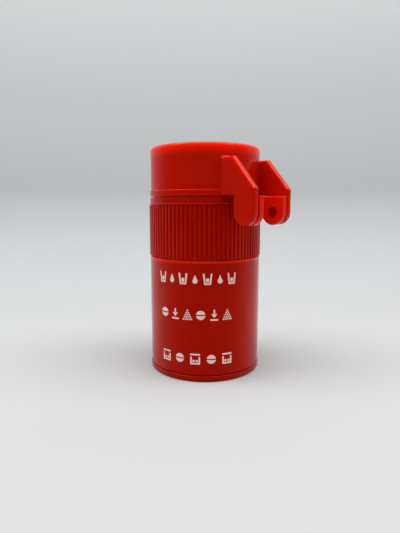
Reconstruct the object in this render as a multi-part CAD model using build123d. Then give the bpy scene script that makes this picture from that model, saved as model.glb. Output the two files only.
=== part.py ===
"""Tablet crusher with a splitter lid, a drink cup and a storage space.

Millimetres, +Z up. The origin is the centre of the base cap's flat underside. The lid's hinge
is on the +X side and its axis runs along Y. Each function below makes one separate piece.
"""
from build123d import *
from math import cos, hypot, pi, radians, sin
import os

# ---- driving dimensions -------------------------------------------------------------------
BODY_R = 25.0            # grip ribs and base cap rim
SLEEVE_R = 24.8          # smooth sleeve
NECK_RING_R = 24.5       # plain ring above the ribs
LID_R = 24.2             # lid wall
BEAD_R = 24.65           # bead round the lid's lower edge
TOTAL_HEIGHT = 98.1

CAP_RIM_TOP = 2.6
SLEEVE_BOTTOM = 2.9
SLEEVE_TOP = 51.3
COLLAR_BOTTOM = 51.6
RIB_TOP = 73.55
LIP_FOOT = 73.9          # underside of the thin lip above the ribs
COLLAR_SHOULDER = 74.25
COLLAR_TOP = 76.9
LID_BOTTOM = 77.2
BEAD_TOP = 79.8

# storage space and its cap
PLUG_R = 20.8
PLUG_BORE_R = 18.2
PLUG_TOP = 9.5
SEAL_SECTION_R = 0.75
SEAL_RING_R = 20.3
SEAL_Z = 6.6
SEAL_SIDE_GAP = 0.1
SEAL_FLOOR_GAP = 0.05
CAP_FOOT_ROUND = 0.8
CAP_RIM_ROUND = 0.3
PLUG_ROUND = 0.5
STORAGE_R = 21.2
STORAGE_TOP = 14.9

# sleeve and cup
SLEEVE_BORE_R = 23.2
SLEEVE_FOOT_TOP = 4.4
SLEEVE_FOOT_R = 21.5
CUP_OUTER_R = 23.1
CUP_BORE_R = 20.8
CUP_FLOOR = 17.3
CUP_SHOULDER = 51.1
CUP_RIM = 64.0
CUP_RIM_BEVEL = 0.4
SLEEVE_TOP_ROUND = 0.5
SLEEVE_FOOT_ROUND = 0.3

# screw thread: two starts, right hand
THREAD_LEAD = 6.0
THREAD_STARTS = 2
THREAD_BOTTOM = 53.0
NECK_THREAD_TURNS = 1.5
COLLAR_THREAD_TURNS = 1.0
NECK_R = 22.3
NECK_CREST_R = 23.1
COLLAR_BORE_R = 23.45
COLLAR_CREST_R = 22.65
RIDGE_ROOT_WIDTH = 1.4
RIDGE_CREST_WIDTH = 0.8
CUP_THREAD_ANGLE = 0.0   # where the first start begins, about Z
COLLAR_THREAD_ANGLE = -90.0
THREAD_BURY = 0.3        # how deep a thread's root runs into its wall

# crushing faces
RIDGE_HEIGHT = 0.8
RIDGE_HALF_BASE = 1.0
RIDGE_SPACING = 4.0
RING_COUNT = 4
ANVIL_FIRST_R = 4.0      # smallest ridge on the anvil
CRUSH_FIRST_R = 6.0      # smallest ridge on the crush plate, between two of the anvil's
ANVIL_R = 20.5
ANVIL_FACE = 18.5
CRUSH_PLATE_R = 19.6
CRUSH_FACE = 19.7

# plunger foot, its swivel and the stem
FOOT_R = 20.2
FOOT_BOTTOM = 20.9
FOOT_DISC_TOP = 23.4
FOOT_BEVEL = 0.6
HUB_TAPER = 1.0
HUB_R = 12.6
HUB_TOP = 30.0
POCKET_R = 10.3
POCKET_FLOOR = 22.1
LIP_R = 9.5
LIP_BOTTOM = 27.6
THRUST_DISC_R = 9.9
THRUST_DISC_TOP = 22.9
STEM_R = 9.0
STEM_BORE_R = 7.2
STEM_BOTTOM = 23.2
STEM_FLOOR = 25.4
STEM_FLARE_R = 9.9
STEM_FLARE_TOP = 26.2
STEM_END_BEVEL = 0.4
STEM_FLARE_BEVEL = 0.6
FLANGE_R = 22.6
FLANGE_BOTTOM = 66.0
WEB_BOTTOM = 68.4
WEB_TOP = 70.4
GUSSET_COUNT = 4
GUSSET_REACH = 19.0
GUSSET_BOTTOM = 52.0
GUSSET_THICKNESS = 1.6
GUSSET_OVERLAP = 0.5
CUP_SEAL_BOTTOM = 64.3
CUP_SEAL_BORE_R = 20.4

# screws that hold the plunger
SCREW_COUNT = 3
SCREW_CIRCLE_R = 15.0
SCREW_R = 1.25
SCREW_HOLE_R = 1.5
SCREW_HEAD_R = 2.3
SCREW_HEAD_TOP = 71.9
SCREW_TIP = 66.5
SCREW_ANGLE = 45.0
SCREW_HEAD_ROUND = 0.6
RECESS_REACH = 1.3
RECESS_HALF_WIDTH = 0.25
RECESS_DEPTH = 0.8

# grip
RIB_COUNT = 82
GROOVE_SHARE = 0.44      # of one rib's pitch
GROOVE_FLOOR_SHARE = 0.5  # of the groove's width
GROOVE_DEPTH = 0.5
CROWN_SHARE = 0.5        # level part of a rib's crown
CROWN_DROP = 0.1         # how far a rib falls from its crown to its edges
GATE_MARK_ANGLE = -53.0
GATE_MARK_Z = 67.5
GATE_MARK_R = 0.9
GATE_MARK_DEPTH = 0.6
RIM_RING_R = 23.2        # upstanding ring inside the lid's rabbet
RIM_RING_TOP = 78.6
RIM_RING_ROUND = 0.2
NECK_ROUND = 0.25
LIP_ROUND = 0.15

# splitter deck
DECK_POCKET_R = 22.6
DECK_R = 22.5
DECK_BOTTOM = 72.9
DECK_TOP = 75.0
DECK_SKIRT_BORE_R = 21.2
DECK_EDGE_BORE_R = 21.0
DECK_EDGE_TOP = 76.9
SLOT_WIDTH = 1.4
SLOT_FAR = -19.0
SLOT_NEAR = 17.0
V_APEX_X = 9.0
V_HALF_ANGLE = 32.0
V_LENGTH = 23.0
V_WALL = 3.0
V_TOP = 80.5
PAD_THICKNESS = 1.2
PAD_TOP = 79.6
PAD_START = 3.2          # distance from the apex along the wall
PAD_END_GAP = 1.0

# lid, hinge ears and lugs
LID_WALL = 1.7
LID_ROOF = 2.0
RABBET_R = 23.6
RABBET_TOP = 79.2
LID_EDGE_R = 1.4
ROOF_ROUND = 0.8
BEAD_TOP_ROUND = 0.3
BEAD_FOOT_ROUND = 0.2
HINGE_X = 32.4
HINGE_Z = 70.5
EAR_END_R = 5.03
EAR_IN = 9.2
EAR_OUT = 12.75
EAR_TOP = 92.2
EAR_TOP_REACH = 26.7
EAR_SHOULDER_Z = 79.85
EAR_ROUND = 1.2
EAR_ROOT_ROUND = 1.0
EAR_ROOT_DEPTH = 6.0     # how far an ear's plate runs in past the lid's bore before that is cut
LUG_IN = 6.06
LUG_OUT = 8.95
LUG_END_R = 5.1
LUG_TOP = 77.1
LUG_ROOT_X = 23.0
LUG_ROUND = 0.5
LUG_ROOT_ANGLE = 210.0   # where the lug's rounded end meets its root, about the hinge
STUB_R = 2.30
STUB_HOLE_R = 2.35
STUB_TIP = 8.0
STUB_BEVEL = 0.35
STUB_ROOT = 0.5

# blade and its holder, in the plane Y = 0
BLADE_THICKNESS = 0.25
BLADE_FAR = -16.0
BLADE_NEAR = 14.0
BLADE_EDGE_Z = 73.4
BLADE_BEVEL = 1.0
BLADE_BACK_Z = 91.0
BLADE_EDGE_HALF = 0.02
HOLDER_HALF = 4.0
HOLDER_FAR = -17.0
HOLDER_NEAR = 15.0
HOLDER_BOTTOM = 82.0
CLAMP_FAR = -15.0
CLAMP_NEAR = 13.0
CLAMP_BOTTOM = 82.6
CLAMP_TOP = 93.0
CLAMP_OUT = 3.0
CLAMP_ROOF_GAP = 0.1
RAIL_THICKNESS = 1.4
RAIL_BOTTOM = 91.5
RAIL_GAP = 0.05
RIVET_X = (-9.0, 7.0)
RIVET_Z = 87.5
RIVET_R = 1.5
RIVET_HEAD_R = 2.6
RIVET_HEAD = 0.8
RIVET_SHANK_ROOT = 0.1

LID_ROOF_UNDERSIDE = TOTAL_HEIGHT - LID_ROOF
LID_BORE_R = LID_R - LID_WALL
OVERRUN = 1.0            # how far a cutting tool runs past the face that it cuts
OVERLAP = 0.2            # how far two shapes that are joined run into each other
TOUCH = 0.01             # places nearer than this are the same place


# ---- shared helpers -----------------------------------------------------------------------
def disc(radius, z_low, z_high):
    """Solid round, on the Z axis."""
    height = z_high - z_low
    return Pos(0, 0, z_low) * Cylinder(radius, height, align=(Align.CENTER, Align.CENTER, Align.MIN))


def ring(outer_r, inner_r, z_low, z_high):
    """Plain ring, on the Z axis."""
    return disc(outer_r, z_low, z_high) - disc(inner_r, z_low - OVERRUN, z_high + OVERRUN)


def turned(*outline):
    """Solid of revolution from (radius, height) points."""
    section = make_face(Polyline(*[(r, 0, z) for r, z in outline], close=True))
    return revolve(section, axis=Axis.Z)


def block(x_low, x_high, y_low, y_high, z_low, z_high):
    """Rectangular block between two corners."""
    size = (x_high - x_low, y_high - y_low, z_high - z_low)
    return Pos(x_low, y_low, z_low) * Box(*size, align=(Align.MIN, Align.MIN, Align.MIN))


def round_edges_at(piece, z, radius, at_r=None):
    """Fillet the round edges that lie flat at height z, at one radius if that is given."""
    edges = piece.edges().filter_by(GeomType.CIRCLE)
    edges = [e for e in edges if abs(e.center().Z - z) < TOUCH and abs(e.bounding_box().size.Z) < TOUCH]
    if at_r is not None:
        edges = [e for e in edges if abs(e.radius - at_r) < TOUCH]
    return fillet(edges, radius)


def plate_along_y(outline, y_low, y_high):
    """Flat plate with an outline in the XZ plane, between two planes of constant Y."""
    face = make_face(outline)
    return Pos(0, y_low, 0) * extrude(face, amount=y_high - y_low, dir=(0, 1, 0))


def pin_along_y(x, z, radius, y_low, y_high):
    """Round pin whose axis runs along Y."""
    pin = Rot(-90, 0, 0) * disc(radius, 0, y_high - y_low)
    return Pos(x, y_low, z) * pin


def thread_ridges(root_r, crest_r, turns, start_angle):
    """Helical ridges, one for each start, as trapezoids swept up round the Z axis."""
    path = Helix(pitch=THREAD_LEAD, height=THREAD_LEAD * turns, radius=root_r)
    section_plane = Plane(origin=path @ 0, x_dir=(1, 0, 0), z_dir=path % 0)
    reach = crest_r - root_r
    bury = THREAD_BURY if reach > 0 else -THREAD_BURY
    root_half = RIDGE_ROOT_WIDTH / 2
    crest_half = RIDGE_CREST_WIDTH / 2
    trapezoid = Polyline((-bury, -root_half), (reach, -crest_half), (reach, crest_half),
                         (-bury, root_half), close=True)
    ridge = sweep(section_plane * make_face(trapezoid), path=path, is_frenet=True)
    ridge = Pos(0, 0, THREAD_BOTTOM) * ridge
    step = 360 / THREAD_STARTS
    return [Rot(0, 0, start_angle + step * i) * ridge for i in range(THREAD_STARTS)]


def crushing_rings(first_r, face_z, direction):
    """Ring-shaped crushing ridges that stand up (1) or hang down (-1) from a face."""
    root_z = face_z - OVERLAP * direction
    tip_z = face_z + RIDGE_HEIGHT * direction
    rings = []
    for i in range(RING_COUNT):
        r = first_r + RIDGE_SPACING * i
        inner = (r - RIDGE_HALF_BASE, root_z)
        outer = (r + RIDGE_HALF_BASE, root_z)
        rings.append(turned(inner, outer, (r, tip_z)))
    return rings


# ---- base ---------------------------------------------------------------------------------
def make_base_cap():
    """Cap with a hollow plug that presses into the storage bore."""
    rim = disc(BODY_R, 0, CAP_RIM_TOP)
    rim = round_edges_at(rim, 0, CAP_FOOT_ROUND)
    rim = round_edges_at(rim, CAP_RIM_TOP, CAP_RIM_ROUND)
    plug = ring(PLUG_R, PLUG_BORE_R, CAP_RIM_TOP - OVERLAP, PLUG_TOP)
    groove_half = SEAL_SECTION_R + SEAL_SIDE_GAP
    groove_floor = SEAL_RING_R - SEAL_SECTION_R - SEAL_FLOOR_GAP
    groove = ring(PLUG_R + OVERRUN, groove_floor, SEAL_Z - groove_half, SEAL_Z + groove_half)
    cap = rim + plug - groove
    return round_edges_at(cap, PLUG_TOP, PLUG_ROUND)


def make_base_cap_seal():
    """Rubber ring in the plug's groove."""
    return Pos(0, 0, SEAL_Z) * Torus(SEAL_RING_R, SEAL_SECTION_R)


# ---- cup ----------------------------------------------------------------------------------
def make_outer_sleeve():
    """Smooth sleeve with an inturned foot that the cup stands on."""
    sleeve = turned(
        (SLEEVE_FOOT_R, SLEEVE_BOTTOM),
        (SLEEVE_R, SLEEVE_BOTTOM),
        (SLEEVE_R, SLEEVE_TOP),
        (SLEEVE_BORE_R, SLEEVE_TOP),
        (SLEEVE_BORE_R, SLEEVE_FOOT_TOP),
        (SLEEVE_FOOT_R, SLEEVE_FOOT_TOP),
    )
    sleeve = round_edges_at(sleeve, SLEEVE_TOP, SLEEVE_TOP_ROUND, at_r=SLEEVE_R)
    return round_edges_at(sleeve, SLEEVE_BOTTOM, SLEEVE_FOOT_ROUND, at_r=SLEEVE_R)


def make_cup_body():
    """Cup with a threaded neck above and the storage bore below its floor."""
    cup = turned(
        (0, STORAGE_TOP),
        (STORAGE_R, STORAGE_TOP),
        (STORAGE_R, SLEEVE_FOOT_TOP),
        (CUP_OUTER_R, SLEEVE_FOOT_TOP),
        (CUP_OUTER_R, CUP_SHOULDER),
        (NECK_R, CUP_SHOULDER),
        (NECK_R, CUP_RIM - CUP_RIM_BEVEL),
        (NECK_R - CUP_RIM_BEVEL, CUP_RIM),
        (CUP_BORE_R, CUP_RIM),
        (CUP_BORE_R, CUP_FLOOR),
        (0, CUP_FLOOR),
    )
    for ridge in thread_ridges(NECK_R, NECK_CREST_R, NECK_THREAD_TURNS, CUP_THREAD_ANGLE):
        cup += ridge
    return cup


def make_anvil_plate():
    """Ridged plate on the cup's floor."""
    plate = disc(ANVIL_R, CUP_FLOOR, ANVIL_FACE)
    for ridge in crushing_rings(ANVIL_FIRST_R, ANVIL_FACE, 1):
        plate += ridge
    return plate


# ---- plunger foot -------------------------------------------------------------------------
def make_crusher_foot():
    """Disc with a lipped socket that snaps over the stem's flared end."""
    foot = turned(
        (0, FOOT_BOTTOM),
        (FOOT_R - FOOT_BEVEL, FOOT_BOTTOM),
        (FOOT_R, FOOT_BOTTOM + FOOT_BEVEL),
        (FOOT_R, FOOT_DISC_TOP),
        (HUB_R, FOOT_DISC_TOP),
        (HUB_R - HUB_TAPER, HUB_TOP),
        (LIP_R + FOOT_BEVEL, HUB_TOP),
        (LIP_R, HUB_TOP - FOOT_BEVEL),
        (LIP_R, LIP_BOTTOM),
        (POCKET_R, LIP_BOTTOM - FOOT_BEVEL),
        (POCKET_R, POCKET_FLOOR),
        (0, POCKET_FLOOR),
    )
    return foot


def make_crush_plate():
    """Ridged plate under the foot."""
    plate = disc(CRUSH_PLATE_R, CRUSH_FACE, FOOT_BOTTOM)
    for ridge in crushing_rings(CRUSH_FIRST_R, CRUSH_FACE, -1):
        plate += ridge
    return plate


def make_thrust_disc():
    """Slippery disc that the stem's end turns on."""
    return disc(THRUST_DISC_R, POCKET_FLOOR, THRUST_DISC_TOP)


# ---- collar -------------------------------------------------------------------------------
def screw_places():
    """Centres of the screws round the web."""
    step = 360 / SCREW_COUNT
    angles = [radians(SCREW_ANGLE + step * i) for i in range(SCREW_COUNT)]
    return [(SCREW_CIRCLE_R * cos(a), SCREW_CIRCLE_R * sin(a)) for a in angles]


def make_plunger_stem():
    """Hollow stem with a flange, gussets and a flared lower end."""
    stem = turned(
        (0, STEM_BOTTOM),
        (STEM_FLARE_R - STEM_END_BEVEL, STEM_BOTTOM),
        (STEM_FLARE_R, STEM_BOTTOM + STEM_END_BEVEL),
        (STEM_FLARE_R, STEM_FLARE_TOP),
        (STEM_R, STEM_FLARE_TOP + STEM_FLARE_BEVEL),
        (STEM_R, FLANGE_BOTTOM),
        (FLANGE_R, FLANGE_BOTTOM),
        (FLANGE_R, WEB_BOTTOM),
        (STEM_BORE_R, WEB_BOTTOM),
        (STEM_BORE_R, STEM_FLOOR),
        (0, STEM_FLOOR),
    )
    gusset_outline = Polyline(
        (STEM_R - GUSSET_OVERLAP, 0, GUSSET_BOTTOM),
        (STEM_R, 0, GUSSET_BOTTOM),
        (GUSSET_REACH, 0, FLANGE_BOTTOM),
        (GUSSET_REACH, 0, FLANGE_BOTTOM + GUSSET_OVERLAP),
        (STEM_R - GUSSET_OVERLAP, 0, FLANGE_BOTTOM + GUSSET_OVERLAP),
        close=True,
    )
    gusset = plate_along_y(gusset_outline, -GUSSET_THICKNESS / 2, GUSSET_THICKNESS / 2)
    for i in range(GUSSET_COUNT):
        stem += Rot(0, 0, 360 / GUSSET_COUNT * i) * gusset
    for x, y in screw_places():
        stem -= Pos(x, y, 0) * disc(SCREW_R, FLANGE_BOTTOM - OVERRUN, WEB_BOTTOM + OVERRUN)
    return stem


def make_cup_seal():
    """Flat ring under the flange that closes the cup's mouth."""
    return ring(FLANGE_R, CUP_SEAL_BORE_R, CUP_SEAL_BOTTOM, FLANGE_BOTTOM)


def make_plunger_screws():
    """Self-tapping screws down through the web into the flange."""
    screws = []
    for x, y in screw_places():
        shank = disc(SCREW_R, SCREW_TIP, WEB_TOP + OVERLAP)
        head = disc(SCREW_HEAD_R, WEB_TOP, SCREW_HEAD_TOP)
        head = round_edges_at(head, SCREW_HEAD_TOP, SCREW_HEAD_ROUND)
        recess = block(-RECESS_REACH, RECESS_REACH, -RECESS_HALF_WIDTH, RECESS_HALF_WIDTH,
                       SCREW_HEAD_TOP - RECESS_DEPTH, SCREW_HEAD_TOP + OVERRUN)
        screw = shank + head - recess - Rot(0, 0, 90) * recess
        screws.append(Pos(x, y, 0) * screw)
    return screws


def ribbed_outline():
    """Outline of the grip in plan: ribs with softened crowns and narrower grooves between them."""
    pitch = 2 * pi / RIB_COUNT
    half_groove = pitch * GROOVE_SHARE / 2
    floor_half = half_groove * GROOVE_FLOOR_SHARE
    crown_half = (pitch / 2 - half_groove) * CROWN_SHARE
    corners = (
        (BODY_R - GROOVE_DEPTH, -floor_half),
        (BODY_R - GROOVE_DEPTH, floor_half),
        (BODY_R - CROWN_DROP, half_groove),
        (BODY_R, pitch / 2 - crown_half),
        (BODY_R, pitch / 2 + crown_half),
        (BODY_R - CROWN_DROP, pitch - half_groove),
    )
    points = []
    for i in range(RIB_COUNT):
        for r, offset in corners:
            angle = pitch * i + offset
            points.append((r * cos(angle), r * sin(angle)))
    return Polyline(*points, close=True)


def lug_outline():
    """Hinge lug: flat top, rounded end about the hinge, and a shallower root on the collar."""
    end_x = HINGE_X + LUG_END_R
    bottom = (HINGE_X, 0, HINGE_Z - LUG_END_R)
    round_x = HINGE_X + LUG_END_R * cos(radians(LUG_ROOT_ANGLE))
    round_z = HINGE_Z + LUG_END_R * sin(radians(LUG_ROOT_ANGLE))
    rounded_end = ThreePointArc((end_x, 0, HINGE_Z), bottom, (round_x, 0, round_z))
    sides = Polyline((round_x, 0, round_z), (LUG_ROOT_X, 0, round_z), (LUG_ROOT_X, 0, LUG_TOP),
                     (end_x, 0, LUG_TOP), (end_x, 0, HINGE_Z))
    return Wire([*sides.edges(), rounded_end.edge()])


def make_lug(side):
    """One hinge lug on the collar, on the -Y side (-1) or the +Y side (1)."""
    y_low, y_high = sorted((LUG_IN * side, LUG_OUT * side))
    lug = plate_along_y(lug_outline(), y_low, y_high)
    middle_y = (LUG_IN + LUG_OUT) / 2
    face_edges = [e for e in lug.edges() if abs(abs(e.center().Y) - middle_y) > TOUCH]
    lug = fillet([e for e in face_edges if e.center().X > LUG_ROOT_X + TOUCH], LUG_ROUND)
    return lug - pin_along_y(HINGE_X, HINGE_Z, STUB_HOLE_R, y_low - OVERRUN, y_high + OVERRUN)


def make_grip_collar():
    """Ribbed screw collar with a thin lip, a neck ring, an inner web and two hinge lugs."""
    ribs = extrude(make_face(ribbed_outline()), amount=RIB_TOP - COLLAR_BOTTOM)
    collar = Pos(0, 0, COLLAR_BOTTOM) * ribs
    collar += round_edges_at(disc(BODY_R, LIP_FOOT, COLLAR_SHOULDER), COLLAR_SHOULDER, LIP_ROUND)
    neck = disc(NECK_RING_R, RIB_TOP - OVERLAP, COLLAR_TOP)
    collar += round_edges_at(neck, COLLAR_TOP, NECK_ROUND)
    rim_ring = disc(RIM_RING_R, COLLAR_SHOULDER, RIM_RING_TOP)
    collar += round_edges_at(rim_ring, RIM_RING_TOP, RIM_RING_ROUND)
    for side in (-1, 1):
        collar += make_lug(side)
    collar -= disc(COLLAR_BORE_R, COLLAR_BOTTOM - OVERRUN, WEB_BOTTOM)
    collar -= disc(DECK_POCKET_R, WEB_TOP, RIM_RING_TOP + OVERRUN)
    collar -= disc(STEM_BORE_R, WEB_BOTTOM - OVERRUN, WEB_TOP + OVERRUN)
    for x, y in screw_places():
        collar -= Pos(x, y, 0) * disc(SCREW_HOLE_R, WEB_BOTTOM - OVERRUN, WEB_TOP + OVERRUN)
    gate_mark = Pos(BODY_R - GATE_MARK_DEPTH, 0, GATE_MARK_Z) * Rot(0, 90, 0)
    gate_mark = gate_mark * disc(GATE_MARK_R, 0, GATE_MARK_DEPTH + OVERRUN)
    collar -= Rot(0, 0, GATE_MARK_ANGLE) * gate_mark
    for ridge in thread_ridges(COLLAR_BORE_R, COLLAR_CREST_R, COLLAR_THREAD_TURNS,
                               COLLAR_THREAD_ANGLE):
        collar += ridge
    return collar


# ---- splitter -----------------------------------------------------------------------------
def v_wall_strip(side, start, end, near, far, z_low, z_high):
    """Upright strip along the V's wall on the +Y side (1) or the -Y side (-1).

    It runs from start to end along the wall, and from near to far outwards from its inner face.
    """
    angle = radians(V_HALF_ANGLE)
    corners = []
    for along, outward in ((start, near), (end, near), (end, far), (start, far)):
        x = V_APEX_X - along * cos(angle) + outward * sin(angle)
        y = side * (along * sin(angle) + outward * cos(angle))
        corners.append((x, y, z_low))
    if side < 0:
        corners.reverse()
    base = make_face(Polyline(*corners, close=True))
    return extrude(base, amount=z_high - z_low, dir=(0, 0, 1))


def make_splitter_deck():
    """Deck with a raised edge, a V-shaped cradle and a slot for the blade."""
    deck = disc(DECK_R, DECK_BOTTOM, DECK_TOP)
    deck += ring(DECK_R, DECK_SKIRT_BORE_R, WEB_TOP, DECK_BOTTOM + OVERLAP)
    deck += ring(DECK_R, DECK_EDGE_BORE_R, DECK_TOP - OVERLAP, DECK_EDGE_TOP)
    for side in (-1, 1):
        deck += v_wall_strip(side, 0, V_LENGTH, 0, V_WALL, DECK_TOP - OVERLAP, V_TOP)
    slot = block(SLOT_FAR, SLOT_NEAR, -SLOT_WIDTH / 2, SLOT_WIDTH / 2, DECK_BOTTOM - OVERRUN,
                 V_TOP + OVERRUN)
    return deck - slot


def make_cradle_pad(side):
    """Soft grip on one wall of the V."""
    return v_wall_strip(side, PAD_START, V_LENGTH - PAD_END_GAP, -PAD_THICKNESS, 0, DECK_TOP, PAD_TOP)


# ---- lid ----------------------------------------------------------------------------------
def ear_outline():
    """Hinge ear: flat top, long slant, upright end and a half-round foot about the hinge."""
    end_x = HINGE_X + EAR_END_R
    inner_x = HINGE_X - EAR_END_R
    root_x = LID_BORE_R - EAR_ROOT_DEPTH
    foot = ThreePointArc((end_x, 0, HINGE_Z), (HINGE_X, 0, HINGE_Z - EAR_END_R),
                         (inner_x, 0, HINGE_Z))
    sides = Polyline((inner_x, 0, HINGE_Z), (inner_x, 0, LID_BOTTOM), (root_x, 0, LID_BOTTOM),
                     (root_x, 0, EAR_TOP), (EAR_TOP_REACH, 0, EAR_TOP),
                     (end_x, 0, EAR_SHOULDER_Z), (end_x, 0, HINGE_Z))
    return Wire([*sides.edges(), foot.edge()])


def make_ear(side):
    """One plain hinge ear, on the -Y side (-1) or the +Y side (1)."""
    y_low, y_high = sorted((EAR_IN * side, EAR_OUT * side))
    return plate_along_y(ear_outline(), y_low, y_high)


def ear_rim_edges(lid):
    """Edges round the ears' faces, outside the lid's wall."""
    rim = []
    for edge in lid.edges():
        middle = edge.center()
        on_face = min(abs(abs(middle.Y) - EAR_IN), abs(abs(middle.Y) - EAR_OUT)) < TOUCH
        flat = edge.bounding_box().size.Y < TOUCH
        outside = hypot(middle.X, middle.Y) > LID_R + TOUCH
        if on_face and flat and outside and middle.X > 0:
            rim.append(edge)
    return rim


def ear_root_edges(lid):
    """Upright edges where the ears' faces meet the lid's wall."""
    upright = [e for e in lid.edges().filter_by(GeomType.LINE) if e.bounding_box().size.X < TOUCH]
    on_wall = [e for e in upright if abs(hypot(e.center().X, e.center().Y) - LID_R) < TOUCH]
    return [e for e in on_wall if e.bounding_box().size.Z > BEAD_TOP - LID_BOTTOM]


def make_stub(side):
    """Stub pin on an ear's inner face, with a bevelled tip."""
    y_low, y_high = sorted((STUB_TIP * side, (EAR_IN + STUB_ROOT) * side))
    stub = pin_along_y(HINGE_X, HINGE_Z, STUB_R, y_low, y_high)
    tip = [e for e in stub.edges().filter_by(GeomType.CIRCLE)
           if abs(abs(e.center().Y) - STUB_TIP) < TOUCH]
    return chamfer(tip, STUB_BEVEL)


def make_rail(side):
    """Rail under the lid's roof that grips one side of the blade holder."""
    rail_in = HOLDER_HALF + RAIL_GAP
    y_low, y_high = sorted((rail_in * side, (rail_in + RAIL_THICKNESS) * side))
    return block(HOLDER_FAR, HOLDER_NEAR, y_low, y_high, RAIL_BOTTOM, LID_ROOF_UNDERSIDE + OVERLAP)


def make_lid():
    """Round lid with a lower bead, two hinge ears with stub pins, and rails for the blade."""
    lid = disc(LID_R, LID_BOTTOM, TOTAL_HEIGHT)
    for side in (-1, 1):
        lid += make_ear(side)
    lid = fillet(ear_rim_edges(lid), EAR_ROUND)
    lid = fillet(ear_root_edges(lid), EAR_ROOT_ROUND)
    lid = round_edges_at(lid, TOTAL_HEIGHT, LID_EDGE_R)
    bead = disc(BEAD_R, LID_BOTTOM, BEAD_TOP)
    bead = round_edges_at(bead, BEAD_TOP, BEAD_TOP_ROUND)
    lid += round_edges_at(bead, LID_BOTTOM, BEAD_FOOT_ROUND)
    inside = disc(LID_BORE_R, LID_BOTTOM - OVERRUN, LID_ROOF_UNDERSIDE)
    lid -= round_edges_at(inside, LID_ROOF_UNDERSIDE, ROOF_ROUND)
    lid -= disc(RABBET_R, LID_BOTTOM - OVERRUN, RABBET_TOP)
    for side in (-1, 1):
        lid += make_stub(side)
        lid += make_rail(side)
    return lid


def rivet_holes():
    """Holes for the two rivets, right through along Y."""
    return [pin_along_y(x, RIVET_Z, RIVET_R, -HOLDER_HALF - OVERRUN, HOLDER_HALF + OVERRUN)
            for x in RIVET_X]


def make_blade_holder():
    """Block on the -Y side of the blade, with a step over the clamp, held by the lid's rails."""
    half_blade = BLADE_THICKNESS / 2
    holder = block(HOLDER_FAR, HOLDER_NEAR, -HOLDER_HALF, -half_blade, HOLDER_BOTTOM,
                   LID_ROOF_UNDERSIDE)
    holder += block(HOLDER_FAR, HOLDER_NEAR, -half_blade, HOLDER_HALF, CLAMP_TOP + CLAMP_ROOF_GAP,
                    LID_ROOF_UNDERSIDE)
    for hole in rivet_holes():
        holder -= hole
    for x in RIVET_X:
        holder -= pin_along_y(x, RIVET_Z, RIVET_HEAD_R, -HOLDER_HALF - OVERRUN, RIVET_HEAD - HOLDER_HALF)
    return holder


def make_blade_clamp():
    """Plate that closes the blade against the holder."""
    clamp = block(CLAMP_FAR, CLAMP_NEAR, BLADE_THICKNESS / 2, CLAMP_OUT, CLAMP_BOTTOM, CLAMP_TOP)
    for hole in rivet_holes():
        clamp -= hole
    return clamp


def make_blade():
    """Thin steel blade with a double bevel along its lower edge."""
    half = BLADE_THICKNESS / 2
    bevel_top = BLADE_EDGE_Z + BLADE_BEVEL
    section = Polyline((0, -BLADE_EDGE_HALF, BLADE_EDGE_Z), (0, BLADE_EDGE_HALF, BLADE_EDGE_Z),
                       (0, half, bevel_top), (0, half, BLADE_BACK_Z), (0, -half, BLADE_BACK_Z),
                       (0, -half, bevel_top), close=True)
    length = BLADE_NEAR - BLADE_FAR
    blade = Pos(BLADE_FAR, 0, 0) * extrude(make_face(section), amount=length, dir=(1, 0, 0))
    for hole in rivet_holes():
        blade -= hole
    return blade


def make_blade_rivets():
    """Two rivets through holder, blade and clamp."""
    rivets = []
    for x in RIVET_X:
        shank = pin_along_y(x, RIVET_Z, RIVET_R, RIVET_HEAD - HOLDER_HALF - RIVET_SHANK_ROOT,
                            CLAMP_OUT + RIVET_SHANK_ROOT)
        back_head = pin_along_y(x, RIVET_Z, RIVET_HEAD_R, -HOLDER_HALF, RIVET_HEAD - HOLDER_HALF)
        front_head = pin_along_y(x, RIVET_Z, RIVET_HEAD_R, CLAMP_OUT, CLAMP_OUT + RIVET_HEAD)
        rivets.append(back_head + shank + front_head)
    return rivets


# ---- all pieces ---------------------------------------------------------------------------
def make_pieces():
    """Every separate piece under its own name."""
    return {
        "base_cap": make_base_cap(),
        "base_cap_seal": make_base_cap_seal(),
        "outer_sleeve": make_outer_sleeve(),
        "cup_body": make_cup_body(),
        "anvil_plate": make_anvil_plate(),
        "crusher_foot": make_crusher_foot(),
        "crush_plate": make_crush_plate(),
        "thrust_disc": make_thrust_disc(),
        "plunger_stem": make_plunger_stem(),
        "cup_seal": make_cup_seal(),
        "plunger_screws": make_plunger_screws(),
        "grip_collar": make_grip_collar(),
        "splitter_deck": make_splitter_deck(),
        "cradle_pad_left": make_cradle_pad(1),
        "cradle_pad_right": make_cradle_pad(-1),
        "lid": make_lid(),
        "blade_holder": make_blade_holder(),
        "blade_clamp": make_blade_clamp(),
        "blade": make_blade(),
        "blade_rivets": make_blade_rivets(),
    }


def write_pieces(pieces):
    """One STEP file for each piece, or for each group of identical fasteners."""
    os.makedirs("parts", exist_ok=True)
    for name, piece in pieces.items():
        solids = piece if isinstance(piece, list) else [piece]
        bodies = [solid for shape in solids for solid in shape.solids()]
        whole = bodies[0] if len(bodies) == 1 else Compound(children=bodies)
        whole.label = name
        export_step(whole, f"parts/{name}.step")


write_pieces(make_pieces())
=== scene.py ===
"""Looks for the tablet crusher: materials, printed marks, camera and light tent."""
import math

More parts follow.
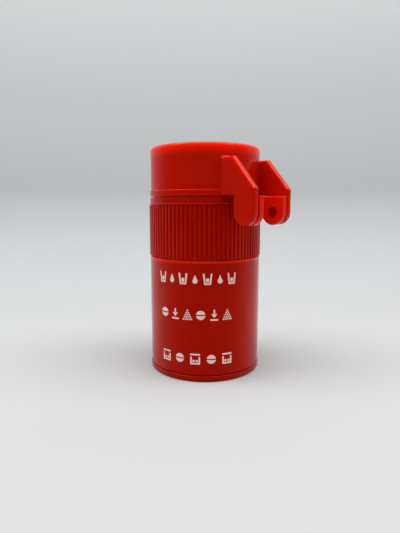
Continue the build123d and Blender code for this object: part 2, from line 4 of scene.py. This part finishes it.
import bpy
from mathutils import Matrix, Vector


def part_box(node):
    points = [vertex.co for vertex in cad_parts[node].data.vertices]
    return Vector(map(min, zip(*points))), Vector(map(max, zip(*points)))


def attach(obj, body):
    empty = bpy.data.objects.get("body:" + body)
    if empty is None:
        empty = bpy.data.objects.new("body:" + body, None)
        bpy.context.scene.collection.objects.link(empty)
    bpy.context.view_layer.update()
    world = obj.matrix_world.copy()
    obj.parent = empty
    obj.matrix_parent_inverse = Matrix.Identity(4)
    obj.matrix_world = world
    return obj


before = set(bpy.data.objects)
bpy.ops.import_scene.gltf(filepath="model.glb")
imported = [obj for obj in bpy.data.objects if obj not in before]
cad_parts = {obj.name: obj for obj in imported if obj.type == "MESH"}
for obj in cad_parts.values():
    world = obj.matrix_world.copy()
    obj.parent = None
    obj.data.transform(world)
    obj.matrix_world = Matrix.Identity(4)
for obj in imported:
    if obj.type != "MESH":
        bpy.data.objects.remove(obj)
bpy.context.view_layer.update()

MM = 0.001

# ---- node trees ---------------------------------------------------------------------------
# A Mix node's colour sockets share their names with its number sockets, so they go by place.
MIX_FIRST_COLOUR = 6
MIX_SECOND_COLOUR = 7
MIX_COLOUR_RESULT = 2


class Nodes:
    """A material's node tree, with short calls for the nodes used here.

    Textures follow the object's own coordinates in metres, so a scale is in cycles per metre.
    """

    def __init__(self, name):
        self.material = bpy.data.materials.new(name)
        self.material.use_nodes = True
        self.tree = self.material.node_tree
        self.tree.nodes.clear()
        self.shader = self.add("ShaderNodeBsdfPrincipled")
        output = self.add("ShaderNodeOutputMaterial")
        self.link(self.shader.outputs["BSDF"], output.inputs["Surface"])
        self.place = self.add("ShaderNodeTexCoord").outputs["Object"]

    def add(self, kind, **settings):
        node = self.tree.nodes.new(kind)
        for key, value in settings.items():
            setattr(node, key, value)
        return node

    def link(self, source, target):
        self.tree.links.new(source, target)

    def feed(self, name, source):
        """Link a socket to one of the shader's inputs."""
        self.link(source, self.shader.inputs[name])

    def set(self, **values):
        """Set the shader's own sockets, with _ for the spaces in their names."""
        for key, value in values.items():
            self.shader.inputs[key.replace("_", " ")].default_value = value

    def stretched(self, scale):
        """The place in the object, with each axis scaled."""
        mapping = self.add("ShaderNodeMapping")
        mapping.inputs["Scale"].default_value = scale
        self.link(self.place, mapping.inputs["Vector"])
        return mapping.outputs["Vector"]

    def along(self, axis):
        """How far along one axis of the object a point is."""
        node = self.add("ShaderNodeSeparateXYZ")
        self.link(self.place, node.inputs["Vector"])
        return node.outputs[axis]

    def noise(self, scale, detail=4.0, rough=0.55, vector=None):
        node = self.add("ShaderNodeTexNoise")
        node.inputs["Scale"].default_value = scale
        node.inputs["Detail"].default_value = detail
        node.inputs["Roughness"].default_value = rough
        self.link(vector or self.place, node.inputs["Vector"])
        return node.outputs["Fac"]

    def spots(self, scale):
        """Distance from the nearest of many scattered points."""
        node = self.add("ShaderNodeTexVoronoi")
        node.inputs["Scale"].default_value = scale
        self.link(self.place, node.inputs["Vector"])
        return node.outputs["Distance"]

    def ramp(self, value, span, result=(0.0, 1.0)):
        """The value's way through a span, turned into the same way through the result."""
        node = self.add("ShaderNodeMapRange")
        node.inputs["From Min"].default_value, node.inputs["From Max"].default_value = span
        node.inputs["To Min"].default_value, node.inputs["To Max"].default_value = result
        self.link(value, node.inputs["Value"])
        return node.outputs["Result"]

    def blend(self, factor, first, second):
        """Mix of two colours, each a socket or three numbers."""
        node = self.add("ShaderNodeMix", data_type="RGBA")
        self.link(factor, node.inputs["Factor"])
        for value, place in ((first, MIX_FIRST_COLOUR), (second, MIX_SECOND_COLOUR)):
            socket = node.inputs[place]
            if hasattr(value, "is_linked"):
                self.link(value, socket)
            else:
                socket.default_value = (*value, 1.0)
        return node.outputs[MIX_COLOUR_RESULT]

    def sum(self, first, second):
        node = self.add("ShaderNodeMath", operation="ADD")
        self.link(first, node.inputs[0])
        self.link(second, node.inputs[1])
        return node.outputs[0]

    def bump(self, height, strength, distance):
        """Roughen the shader's normal, on top of any bump it has already."""
        node = self.add("ShaderNodeBump")
        node.inputs["Strength"].default_value = strength
        node.inputs["Distance"].default_value = distance
        self.link(height, node.inputs["Height"])
        normal = self.shader.inputs["Normal"]
        if normal.is_linked:
            self.link(normal.links[0].from_socket, node.inputs["Normal"])
        self.link(node.outputs["Normal"], normal)


def faded(colour, share):
    """The colour with only a share of its brightness."""
    return tuple(share * part for part in colour)


# ---- materials ----------------------------------------------------------------------------
# The part of a texture's values over which it takes effect. Most of a noise lies in MOST.
MOST = (0.3, 0.7)
DRIFT_SPAN = (0.35, 0.65)
SMUDGE_SPAN = (0.35, 0.75)
SCRATCH_SPAN = (0.60, 0.70)
DUST_SPAN = (0.045, 0.03)           # from a speck's edge to its solid middle, in cells

WHITE_GLINT = (1.0, 1.0, 1.0)       # tint of what the skin reflects
RED_GLINT = (1.0, 0.07, 0.03)
DUST = (0.75, 0.72, 0.70)
DUST_COVER = 0.10                   # how much of the plastic a speck hides
SCRATCH_ROUGHNESS = 0.05            # what a scratch adds to the plastic's own
SCRATCH_STRETCH = (1.0, 1.0, 0.08)
PLASTIC_IOR = 1.48
GLOW_REACH = 2.0 * MM
GLOW_SHARES = (1.0, 0.10, 0.04)     # of that reach, for red, green and blue light
WAVE_HEIGHT = 0.12 * MM
SKIN_HEIGHT = 0.02 * MM
SKIN_STRENGTH = 0.12


def gloss_plastic(name, colours, rough, glint=WHITE_GLINT, wave=0.2, glow=0.0, thin=None):
    """Moulded plastic: slow colour drift, polished skin with smudges, fine scratches and dust.

    Colours are the main one and the one it drifts to, and rough is the span of the roughness.
    Wave is how wavy the skin is, and glow how much light goes into the plastic. Thin is a painted
    glow: a band across the piece painted in a lighter colour, for light that comes through a thin
    wall. It gives the band's axis, the places along it where the band starts, is full and ends,
    and the colour it has there.
    """
    n = Nodes(name)
    drift = n.ramp(n.noise(scale=45.0, detail=3.0), DRIFT_SPAN)
    skin = n.blend(drift, *colours)
    # Painted glow: a lighter band painted into the colour where light comes through a thin wall.
    if thin:
        place = n.along(thin["axis"])
        rise = n.ramp(place, (thin["start"], thin["full"]))
        fall = n.ramp(place, (thin["full"], thin["end"]), (0.0, -1.0))
        skin = n.blend(n.sum(rise, fall), skin, thin["colour"])
    dust = n.ramp(n.spots(scale=900.0), DUST_SPAN, (0.0, DUST_COVER))
    n.feed("Base Color", n.blend(dust, skin, DUST))
    smudge = n.ramp(n.noise(scale=70.0, detail=5.0, rough=0.6), SMUDGE_SPAN, rough)
    lines = n.noise(scale=260.0, detail=6.0, rough=0.7, vector=n.stretched(SCRATCH_STRETCH))
    scratch = n.ramp(lines, SCRATCH_SPAN, (0.0, SCRATCH_ROUGHNESS))
    n.feed("Roughness", n.sum(smudge, scratch))
    n.bump(n.noise(scale=55.0, detail=2.0), wave, WAVE_HEIGHT)
    n.bump(n.noise(scale=2400.0, detail=3.0), SKIN_STRENGTH, SKIN_HEIGHT)
    n.set(IOR=PLASTIC_IOR, Specular_Tint=(*glint, 1.0), Subsurface_Weight=glow,
          Subsurface_Scale=GLOW_REACH, Subsurface_Radius=GLOW_SHARES)
    return n.material


def soft_rubber(name, colours, rough=(0.55, 0.75)):
    """Matt elastomer with a fine spark-eroded grain."""
    n = Nodes(name)
    n.feed("Base Color", n.blend(n.ramp(n.noise(scale=140.0), MOST), *colours))
    n.feed("Roughness", n.ramp(n.noise(scale=500.0), MOST, rough))
    n.bump(n.noise(scale=3500.0, detail=3.0), strength=0.35, distance=0.03 * MM)
    return n.material


def ground_steel(name, colour, grain, rough, dark=0.72):
    """Stainless steel with grinding lines, which run along the axes where grain is small."""
    n = Nodes(name)
    lines = n.noise(scale=900.0, detail=6.0, rough=0.75, vector=n.stretched(grain))
    n.feed("Base Color", n.blend(lines, colour, faded(colour, dark)))
    n.feed("Roughness", n.ramp(lines, MOST, rough))
    n.bump(lines, strength=0.25, distance=0.02 * MM)
    n.set(Metallic=1.0)
    return n.material


def pad_ink(name, colours, rough, strongest=0.22):
    """Pad-printed ink, a little thin, so that the red shows in its weakest places."""
    n = Nodes(name)
    thin = n.ramp(n.noise(scale=1100.0, rough=0.6), MOST, (0.0, strongest))
    n.feed("Base Color", n.blend(thin, *colours))
    n.feed("Roughness", n.ramp(n.noise(scale=700.0), MOST, rough))
    n.bump(n.noise(scale=1600.0, detail=3.0), strength=0.2, distance=0.02 * MM)
    return n.material


# Each pair is a piece's main colour and the one it drifts to.
SLEEVE_RED = ((0.43, 0.0056, 0.0004), (0.40, 0.0050, 0.0003))
# The lid's red is painted lighter than the sleeve's red, as a painted glow for light that comes
# through the lid's thin top.
LID_RED_WITH_PAINTED_GLOW = ((0.54, 0.0076, 0.0005), (0.50, 0.0068, 0.0004))
RIBBED_RED = ((0.42, 0.0050, 0.0005), (0.38, 0.0044, 0.0004))
CAP_RED = ((0.34, 0.0050, 0.0005), (0.31, 0.0044, 0.0004))
WHITE = ((0.52, 0.52, 0.50), (0.49, 0.49, 0.465))
SLIP_WHITE = ((0.50, 0.50, 0.455), (0.46, 0.46, 0.42))
SEAL_WHITE = ((0.50, 0.50, 0.485), (0.46, 0.46, 0.445))
PAD_GREY = ((0.10, 0.11, 0.12), (0.07, 0.075, 0.08))
INK_WHITE = ((0.97, 0.66, 0.61), (0.78, 0.22, 0.18))
PLATE_STEEL = (0.62, 0.62, 0.63)
BLADE_STEEL = (0.70, 0.71, 0.72)
ACROSS_X = (1.0, 0.05, 0.05)
ALONG_X = (0.05, 1.0, 1.0)
POLISHED = (0.05, 0.11)

# Painted light: lighter red bands painted in as a glow through the thin walls of the lid's top and
# the lugs, and as a highlight along the sleeve's top edge.
LIT_RED = (0.95, 0.016, 0.001)
LIT_LUG_RED = (0.72, 0.010, 0.001)
LID_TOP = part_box("lid")[1].z
SLEEVE_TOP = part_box("outer_sleeve")[1].z
COLLAR_RADIUS = -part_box("grip_collar")[0].x
COLLAR_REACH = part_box("grip_collar")[1].x
# Painted glow under the lid's top edge: a lighter red band, strongest just below the top.
LID_TOP_PAINTED_GLOW = {
    "axis": "Z",
    "start": LID_TOP - 5.0 * MM,
    "full": LID_TOP - 1.2 * MM,
    "end": LID_TOP - 0.2 * MM,
    "colour": LIT_RED,
}
# Painted highlight along the sleeve's top edge.
SLEEVE_TOP_PAINTED_HIGHLIGHT = {
    "axis": "Z",
    "start": SLEEVE_TOP - 1.6 * MM,
    "full": SLEEVE_TOP - 0.4 * MM,
    "end": SLEEVE_TOP,
    "colour": LIT_RED,
}
# Painted glow on the collar's lugs, lighter outwards from the collar's wall.
LUG_PAINTED_GLOW = {
    "axis": "X",
    "start": COLLAR_RADIUS,
    "full": COLLAR_RADIUS + 3.0 * MM,
    "end": 3 * COLLAR_REACH,        # far beyond the lugs, which glow all the way out
    "colour": LIT_LUG_RED,
}

MATERIALS = {
    "red": gloss_plastic("red_plastic_smooth", SLEEVE_RED, POLISHED, RED_GLINT,
                         glow=0.85, thin=SLEEVE_TOP_PAINTED_HIGHLIGHT),
    "lid_red": gloss_plastic("red_plastic_lid", LID_RED_WITH_PAINTED_GLOW, POLISHED, RED_GLINT,
                             glow=1.0, thin=LID_TOP_PAINTED_GLOW),
    "ribbed": gloss_plastic("red_plastic_ribbed", RIBBED_RED, (0.18, 0.28), RED_GLINT,
                            wave=0.0, glow=0.6, thin=LUG_PAINTED_GLOW),
    "cap_red": gloss_plastic("red_plastic_cap", CAP_RED, (0.08, 0.15), RED_GLINT, glow=0.6),
    "white": gloss_plastic("white_plastic", WHITE, (0.25, 0.4)),
    "slip": gloss_plastic("slip_plastic", SLIP_WHITE, (0.4, 0.55)),
    "seal": soft_rubber("seal_silicone", SEAL_WHITE),
    "pad": soft_rubber("pad_rubber", PAD_GREY),
    "steel": ground_steel("plate_steel", PLATE_STEEL, ACROSS_X, (0.25, 0.4)),
    "blade": ground_steel("blade_steel", BLADE_STEEL, ALONG_X, (0.12, 0.28)),
}

NODE_MATERIAL = {
    "base_cap": "cap_red",
    "base_cap_seal": "seal",
    "outer_sleeve": "red",
    "cup_body": "white",
    "anvil_plate": "steel",
    "crusher_foot": "white",
    "crush_plate": "steel",
    "thrust_disc": "slip",
    "plunger_stem": "white",
    "cup_seal": "seal",
    "plunger_screws": "steel",
    "grip_collar": "ribbed",
    "splitter_deck": "white",
    "cradle_pad_left": "pad",
    "cradle_pad_right": "pad",
    "lid": "lid_red",
    "blade_holder": "white",
    "blade_clamp": "white",
    "blade": "blade",
    "blade_rivets": "steel",
}

for node_name, key in NODE_MATERIAL.items():
    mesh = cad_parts[node_name].data
    mesh.materials.clear()
    mesh.materials.append(MATERIALS[key])


# ---- new objects --------------------------------------------------------------------------
def in_scene(name, data):
    """A new object in the scene, which shows a mesh, a light or a camera."""
    thing = bpy.data.objects.new(name, data)
    bpy.context.scene.collection.objects.link(thing)
    return thing


def mesh_object(name, verts, faces, *materials):
    """A new object in the scene, made from lists of points and faces."""
    mesh = bpy.data.meshes.new(name)
    mesh.from_pydata(verts, [], faces)
    for material in materials:
        mesh.materials.append(material)
    return in_scene(name, mesh)


# ---- printed marks ------------------------------------------------------------------------
sleeve_low, sleeve_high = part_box("outer_sleeve")
SLEEVE_RADIUS = (sleeve_high.y - sleeve_low.y) / 2
INK_PROUD = 0.03 * MM
INK_SUNK = 0.05 * MM
UNIT = 1.1 * MM                     # the marks are drawn in these
STROKE = 0.62 * UNIT
MARK_HALF = 2.1 * UNIT              # half the height of a mark
MARK_TOP = MARK_HALF - STROKE / 2   # middle of a level stroke at a mark's top
MARK_FOOT = -MARK_TOP
PRINT_STEP = 0.35 * MM              # longest straight stretch on the curved sleeve
CURVE_STEPS = 24                    # round a big curve
TABLET_STEPS = 14                   # round a small tablet
GRAIN_STEPS = 10
RIBBON_CORNERS = 4                  # of a stroke's section


def shift(points, across, up=0.0):
    """The points moved across and up."""
    return [(x + across, y + up) for x, y in points]


def circle_points(radius, steps, start=0.0, sweep=360.0):
    """Points round a whole circle, or along an arc with both of its ends."""
    count = steps if sweep >= 360.0 else steps + 1
    angles = [math.radians(start + sweep * i / steps) for i in range(count)]
    return [(radius * math.cos(angle), radius * math.sin(angle)) for angle in angles]


def divided(path, closed):
    """The path with points added, so that no run is longer than PRINT_STEP."""
    ends = path[1:] + path[:1] if closed else path[1:]
    points = []
    for (ax, ay), (bx, by) in zip(path, ends):
        steps = max(1, math.ceil(math.hypot(bx - ax, by - ay) / PRINT_STEP))
        points += [(ax + (bx - ax) * i / steps, ay + (by - ay) * i / steps) for i in range(steps)]
    return points if closed else points + [path[-1]]


def direction(x, y):
    """A vector's direction, with length 1."""
    length = math.hypot(x, y)
    return x / length, y / length


def stroke_edges(path):
    """Left and right edges of a mitred stroke along an open path."""
    headings = [direction(bx - ax, by - ay) for (ax, ay), (bx, by) in zip(path, path[1:])]
    lefts, rights = [], []
    for (x, y), before, after in zip(path, headings[:1] + headings, headings + headings[-1:]):
        mean_x, mean_y = direction(before[0] + after[0], before[1] + after[1])
        reach = STROKE / 2 / (mean_x * before[0] + mean_y * before[1])
        lefts.append((x - mean_y * reach, y + mean_x * reach))
        rights.append((x + mean_y * reach, y - mean_x * reach))
    return lefts, rights


class Print:
    """A closed, thin layer of ink lying on the sleeve's round wall."""

    def __init__(self, name, facing, height):
        self.name = name
        self.facing = math.radians(facing)
        self.height = height
        self.verts = []
        self.faces = []

    def point(self, x, y, lift):
        """One point of the layer, lift above the wall."""
        angle = self.facing + x / SLEEVE_RADIUS
        radius = SLEEVE_RADIUS + lift
        self.verts.append((radius * math.cos(angle), radius * math.sin(angle), self.height + y))

    def stroke(self, path):
        """Ribbon along an open path, with mitred corners."""
        lefts, rights = stroke_edges(divided(path, False))
        base = len(self.verts)
        for left, right in zip(lefts, rights):
            self.point(*left, INK_PROUD)
            self.point(*right, INK_PROUD)
            self.point(*right, -INK_SUNK)
            self.point(*left, -INK_SUNK)
        last = len(self.verts) - RIBBON_CORNERS
        for a in range(base, last, RIBBON_CORNERS):
            b = a + RIBBON_CORNERS
            for k in range(RIBBON_CORNERS):
                m = (k + 1) % RIBBON_CORNERS
                self.faces.append((a + k, a + m, b + m, b + k))
        self.faces.append((base + 3, base + 2, base + 1, base))
        self.faces.append((last, last + 1, last + 2, last + 3))

    def patch(self, outline):
        """Filled shape that its middle can see all of, with its edge going round anticlockwise."""
        edge = divided(outline, True)
        count = len(edge)
        middle_x = sum(x for x, _ in edge) / count
        middle_y = sum(y for _, y in edge) / count
        base = len(self.verts)
        for x, y in edge + [(middle_x, middle_y)]:
            self.point(x, y, INK_PROUD)
            self.point(x, y, -INK_SUNK)
        top, bottom = base + 2 * count, base + 2 * count + 1
        for i in range(count):
            a, b = base + 2 * i, base + 2 * ((i + 1) % count)
            self.faces.append((top, a, b))
            self.faces.append((bottom, b + 1, a + 1))
            self.faces.append((a, a + 1, b + 1, b))

    def finish(self, material, body):
        piece = mesh_object(self.name, self.verts, self.faces, material)
        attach(piece, body)


def draw_tumbler(ink, across):
    """Drinking glass, half full."""
    rim, foot = 1.45 * UNIT, 1.0 * UNIT
    surface, bottom = 0.62 * UNIT, 0.48 * UNIT
    high, low = 0.3 * UNIT, -1.2 * UNIT
    glass = [(-rim, MARK_HALF), (-foot, MARK_FOOT), (foot, MARK_FOOT), (rim, MARK_HALF)]
    water = [(-bottom, low), (bottom, low), (surface, high), (-surface, high)]
    ink.stroke(shift(glass, across))
    ink.patch(shift(water, across))


def draw_drop(ink, across):
    """Water drop."""
    radius, middle, tip = 0.95 * UNIT, -0.75 * UNIT, 1.6 * UNIT
    bowl = circle_points(radius, CURVE_STEPS, start=150.0, sweep=240.0)
    ink.patch(shift(shift(bowl, 0.0, middle) + [(0.0, tip)], across))


def draw_tablet(ink, across):
    """Round tablet split along its score line."""
    radius, half_gap = 1.75 * UNIT, 0.25 * UNIT
    turn = math.degrees(math.asin(half_gap / radius))
    for start in (turn, 180.0 + turn):
        half = circle_points(radius, CURVE_STEPS, start, 180.0 - 2 * turn)
        ink.patch(shift(half, across))


def draw_press(ink, across):
    """Arrow pressing down on a plate."""
    plate, shaft_end = 1.5 * UNIT, 0.5 * UNIT
    head, head_top, tip = 1.15 * UNIT, 0.42 * UNIT, -1.05 * UNIT
    ink.stroke(shift([(-plate, MARK_FOOT), (plate, MARK_FOOT)], across))
    ink.stroke(shift([(0.0, MARK_HALF), (0.0, shaft_end)], across))
    ink.patch(shift([(0.0, tip), (head, head_top), (-head, head_top)], across))


def draw_powder(ink, across):
    """Heap of grains, with one grain fewer in each row."""
    rows, radius, pitch, rise = 5, 0.33 * UNIT, 0.8 * UNIT, 0.85 * UNIT
    for row in range(rows):
        count = rows - row
        up = (row - (rows - 1) / 2) * rise
        for i in range(count):
            grain = circle_points(radius, GRAIN_STEPS)
            ink.patch(shift(grain, across + (i - (count - 1) / 2) * pitch, up))


def draw_box(ink, across):
    """Closed box with tablets in it."""
    side, opening, cover = 1.6 * UNIT, 0.95 * UNIT, 1.9 * UNIT
    radius, apart, low = 0.48 * UNIT, 0.62 * UNIT, -0.75 * UNIT
    walls = [(-side, opening), (-side, MARK_FOOT), (side, MARK_FOOT), (side, opening)]
    ink.stroke(shift(walls, across))
    ink.stroke(shift([(-cover, MARK_TOP), (cover, MARK_TOP)], across))
    for place in (-apart, apart):
        ink.patch(shift(circle_points(radius, TABLET_STEPS), across + place, low))


# Each row's name, the way it faces in degrees, its height, the marks' pitch and the marks.
PRINTED_ROWS = (
    ("print_drink", -55.0, 43.8 * MM, 5.15 * MM, (draw_tumbler, draw_drop) * 3 + (draw_tumbler,)),
    ("print_crush", -56.0, 28.8 * MM, 5.6 * MM, (draw_tablet, draw_press, draw_powder) * 2),
    ("print_store", -55.0, 10.0 * MM, 6.8 * MM, (draw_box, draw_tablet) * 2 + (draw_box,)),
)


def make_prints():
    ink_material = pad_ink("white_ink", INK_WHITE, (0.35, 0.5))
    for name, facing, height, pitch, marks in PRINTED_ROWS:
        ink = Print(name, facing, height)
        for i, draw in enumerate(marks):
            draw(ink, (i - (len(marks) - 1) / 2) * pitch)
        ink.finish(ink_material, "cup")


# ---- camera -------------------------------------------------------------------------------
CAMERA_AZIMUTH = math.radians(45.0)
CAMERA_DISTANCE = 0.192133
CAMERA_HEIGHT = 0.073154
CAMERA_OFFSET = -0.002255
CAMERA_PITCH = 0.143                # radians below level
LENS_MM = 28.3677
SENSOR_MM = 36.0
NEAREST = 0.01
FARTHEST = 20.0


def toward_camera(forward, right, up):
    """A point given as seen by the camera: towards it, to its right and up, in metres."""
    front = Vector((math.sin(CAMERA_AZIMUTH), -math.cos(CAMERA_AZIMUTH), 0.0))
    rightward = Vector((math.cos(CAMERA_AZIMUTH), math.sin(CAMERA_AZIMUTH), 0.0))
    return front * forward + rightward * right + Vector((0.0, 0.0, up))


def make_camera():
    data = bpy.data.cameras.new("camera")
    data.sensor_width = SENSOR_MM
    data.lens = LENS_MM
    data.clip_start = NEAREST
    data.clip_end = FARTHEST
    camera = in_scene("camera", data)
    camera.location = toward_camera(CAMERA_DISTANCE, CAMERA_OFFSET, CAMERA_HEIGHT)
    camera.rotation_euler = (math.radians(90.0) - CAMERA_PITCH, 0.0, CAMERA_AZIMUTH)
    bpy.context.scene.camera = camera


# ---- light tent ---------------------------------------------------------------------------
FLOOR_DEPTH = 0.48                  # half the floor's size along the camera's line of sight
FLOOR_WIDTH = 1.05                  # half its size across that
FLOOR_RINGS = 6
BEND_RADIUS = 0.09
BEND_STEPS = 24
WALL_TOP = 1.5
STAGE_SHIFT = 0.35                  # from the object to the floor's middle, towards the camera
STAGE_STEPS = 128
FLOOR_COLOUR = (0.44, 0.443, 0.443)
WALL_COLOUR = (0.435, 0.447, 0.451)
STAGE_ROUGHNESS = 0.9
STAGE_FADE = 0.97
SKY_COLOUR = (0.92, 0.97, 1.0, 1.0)
SKY_STRENGTH = 0.08

# Each light's name, its place and target as in toward_camera, its size and its watts.
SOFT_LIGHTS = (
    ("top_softbox", (0.06, 0.0, 0.62), (0.0, 0.0, 0.0), (1.2, 0.3), 8.3),
    ("far_softbox", (0.62, 0.0, 0.75), (1.1, 0.0, 0.35), (1.3, 0.3), 5.5),
)


def stage_material(name, colour):
    """Matt paper with a slow, faint change of tone."""
    n = Nodes(name)
    cloud = n.noise(scale=6.0, detail=3.0)
    n.feed("Base Color", n.blend(cloud, colour, faded(colour, STAGE_FADE)))
    n.set(Roughness=STAGE_ROUGHNESS)
    return n.material


def stage_profile():
    """The floor's rings, its bend and its wall: share of the floor, way beyond it and height."""
    profile = [(i / FLOOR_RINGS, 0.0, 0.0) for i in range(1, FLOOR_RINGS + 1)]
    for i in range(1, BEND_STEPS + 1):
        angle = math.radians(90.0) * i / BEND_STEPS
        beyond, height = math.sin(angle), 1 - math.cos(angle)
        profile.append((1.0, BEND_RADIUS * beyond, BEND_RADIUS * height))
    profile.append((1.0, BEND_RADIUS, WALL_TOP))
    return profile


def make_stage():
    """Pale oval floor whose edge curves up into a wall all round."""
    profile = stage_profile()
    verts = [tuple(toward_camera(STAGE_SHIFT, 0.0, 0.0))]
    for share, beyond, height in profile:
        for i in range(STAGE_STEPS):
            angle = 2 * math.pi * i / STAGE_STEPS
            forward = (FLOOR_DEPTH * share + beyond) * math.cos(angle)
            right = (FLOOR_WIDTH * share + beyond) * math.sin(angle)
            verts.append(tuple(toward_camera(STAGE_SHIFT + forward, right, height)))
    faces = []
    for i in range(STAGE_STEPS):
        j = (i + 1) % STAGE_STEPS
        faces.append((0, 1 + i, 1 + j))
        for ring in range(len(profile) - 1):
            a = 1 + ring * STAGE_STEPS
            b = a + STAGE_STEPS
            faces.append((a + i, b + i, b + j, a + j))
    floor = stage_material("stage_floor", FLOOR_COLOUR)
    wall = stage_material("stage_wall", WALL_COLOUR)
    stage = mesh_object("stage", verts, faces, floor, wall)
    for polygon in stage.data.polygons:
        polygon.use_smooth = True
        polygon.material_index = int(polygon.center.z > 0)


def soft_light(name, place, target, size, watts):
    """Rectangular soft light aimed at a point."""
    data = bpy.data.lights.new(name, "AREA")
    data.shape = "RECTANGLE"
    data.size, data.size_y = size
    data.energy = watts
    light = in_scene(name, data)
    light.location = toward_camera(*place)
    way = toward_camera(*target) - toward_camera(*place)
    light.rotation_euler = way.to_track_quat("-Z", "Y").to_euler()


def make_world():
    world = bpy.data.worlds.new("studio")
    world.use_nodes = True
    background = world.node_tree.nodes["Background"]
    background.inputs["Color"].default_value = SKY_COLOUR
    background.inputs["Strength"].default_value = SKY_STRENGTH
    bpy.context.scene.world = world


make_prints()
make_camera()
make_world()
make_stage()
for light in SOFT_LIGHTS:
    soft_light(*light)

bpy.context.scene.view_settings.view_transform = "Standard"
